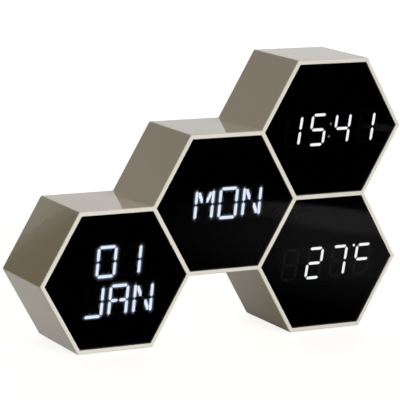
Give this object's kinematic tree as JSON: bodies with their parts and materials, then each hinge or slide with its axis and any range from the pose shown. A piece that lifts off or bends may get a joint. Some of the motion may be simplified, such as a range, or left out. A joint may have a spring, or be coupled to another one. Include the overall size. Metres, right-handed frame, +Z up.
{
  "type": "digital alarm clock",
  "caption": "Free-standing digital alarm clock in joined hexagonal cells, with lit displays for date, day, time and temperature behind dark lenses.",
  "frame": {"origin": "on the supporting surface, midway between the clock's left and right extremes and between its front rim and its back edge", "axes": "+Z up, +X to the right seen from the front, lenses face -Y"},
  "size_m": [0.23, 0.0532, 0.1608],
  "materials": {
    "housing": "glossy warm grey lacquer",
    "cover": "fine moulded texture",
    "lens": "smoked black, polished",
    "mask": "black printed adhesive film",
    "display_black": "matt black",
    "segment_lit": "white glowing segment",
    "segment_dim": "dim segment",
    "segment_dark": "unlit segment",
    "chip": "light emitter in clear resin",
    "chip_black": "moulded black",
    "tin": "bright drawn metal",
    "connector": "ivory moulded",
    "board": "black solder mask",
    "button": "fine satin",
    "foam": "soft foam",
    "battery": "plain wrapped cell",
    "contact": "nickel-plated spring strip",
    "lead_red": "wire insulation",
    "lead_black": "wire insulation",
    "ribbon": "flat cable",
    "screw": "plated steel",
    "foot_rubber": "matt"
  },
  "bodies": {
    "clock": {"alarm_switch_body": "chip_black", "back_cover": "cover", "battery_cells": "battery", "battery_contacts": "contact", "black_leads": "lead_black", "board_connectors": "connector", "board_screws": "screw", "button_board": "board", "button_ribbon": "ribbon", "button_switches": "chip_black", "buzzer": "chip_black", "capacitors": "chip_black", "controller_chip": "chip_black", "cover_screws": "screw", "crystal_can": "tin", "date_board": "board", "date_dark_segments": "segment_dark", "date_display_block": "display_black", "date_lens": "lens", "date_lit_segments": "segment_lit", "date_ribbon": "ribbon", "day_board": "board", "day_dark_segments": "segment_dark", "day_display_block": "display_black", "day_lens": "lens", "day_lit_segments": "segment_lit", "housing": "housing", "led_chips": "chip", "lens_masks": "mask", "power_board": "board", "power_socket_shell": "tin", "power_socket_tongue": "chip_black", "red_leads": "lead_red", "rubber_feet": "foot_rubber", "temperature_board": "board", "temperature_dark_segments": "segment_dark", "temperature_display_block": "display_black", "temperature_lens": "lens", "temperature_lit_segments": "segment_lit", "temperature_ribbon": "ribbon", "temperature_sensor": "chip_black", "time_board": "board", "time_colon": "segment_dim", "time_dark_segments": "segment_dark", "time_display_block": "display_black", "time_lens": "lens", "time_lit_segments": "segment_lit", "time_ribbon": "ribbon"},
    "door": {"battery_door": "cover", "door_foam": "foam"},
    "alarm_slider": {"alarm_switch_knob": "button"},
    "set_key": {"set_button": "button"},
    "up_key": {"up_button": "button"},
    "down_key": {"down_button": "button"},
    "alarm_key": {"alarm_button": "button"},
    "light_key": {"light_button": "button"}
  },
  "joints": [
    {"name": "set_press", "type": "slide", "parent": "clock", "child": "set_key", "axis": [0, -1, 0], "range_m": [0, 0.0007], "stiffness_N_per_m": 1500},
    {"name": "up_press", "type": "slide", "parent": "clock", "child": "up_key", "axis": [0, -1, 0], "range_m": [0, 0.0007], "stiffness_N_per_m": 1500},
    {"name": "down_press", "type": "slide", "parent": "clock", "child": "down_key", "axis": [0, -1, 0], "range_m": [0, 0.0007], "stiffness_N_per_m": 1500},
    {"name": "alarm_press", "type": "slide", "parent": "clock", "child": "alarm_key", "axis": [0, -1, 0], "range_m": [0, 0.0007], "stiffness_N_per_m": 1500},
    {"name": "light_press", "type": "slide", "parent": "clock", "child": "light_key", "axis": [0, -1, 0], "range_m": [0, 0.0007], "stiffness_N_per_m": 1500},
    {"name": "alarm_slide", "type": "slide", "parent": "clock", "child": "alarm_slider", "axis": [1, 0, 0], "range_m": [0, 0.004]},
    {"name": "door_hinge", "type": "hinge", "parent": "clock", "child": "door", "pos_m": [-0.09385, 0.0235, 0.0414], "axis": [0, 0, 1], "range_deg": [0, 100]}
  ]
}
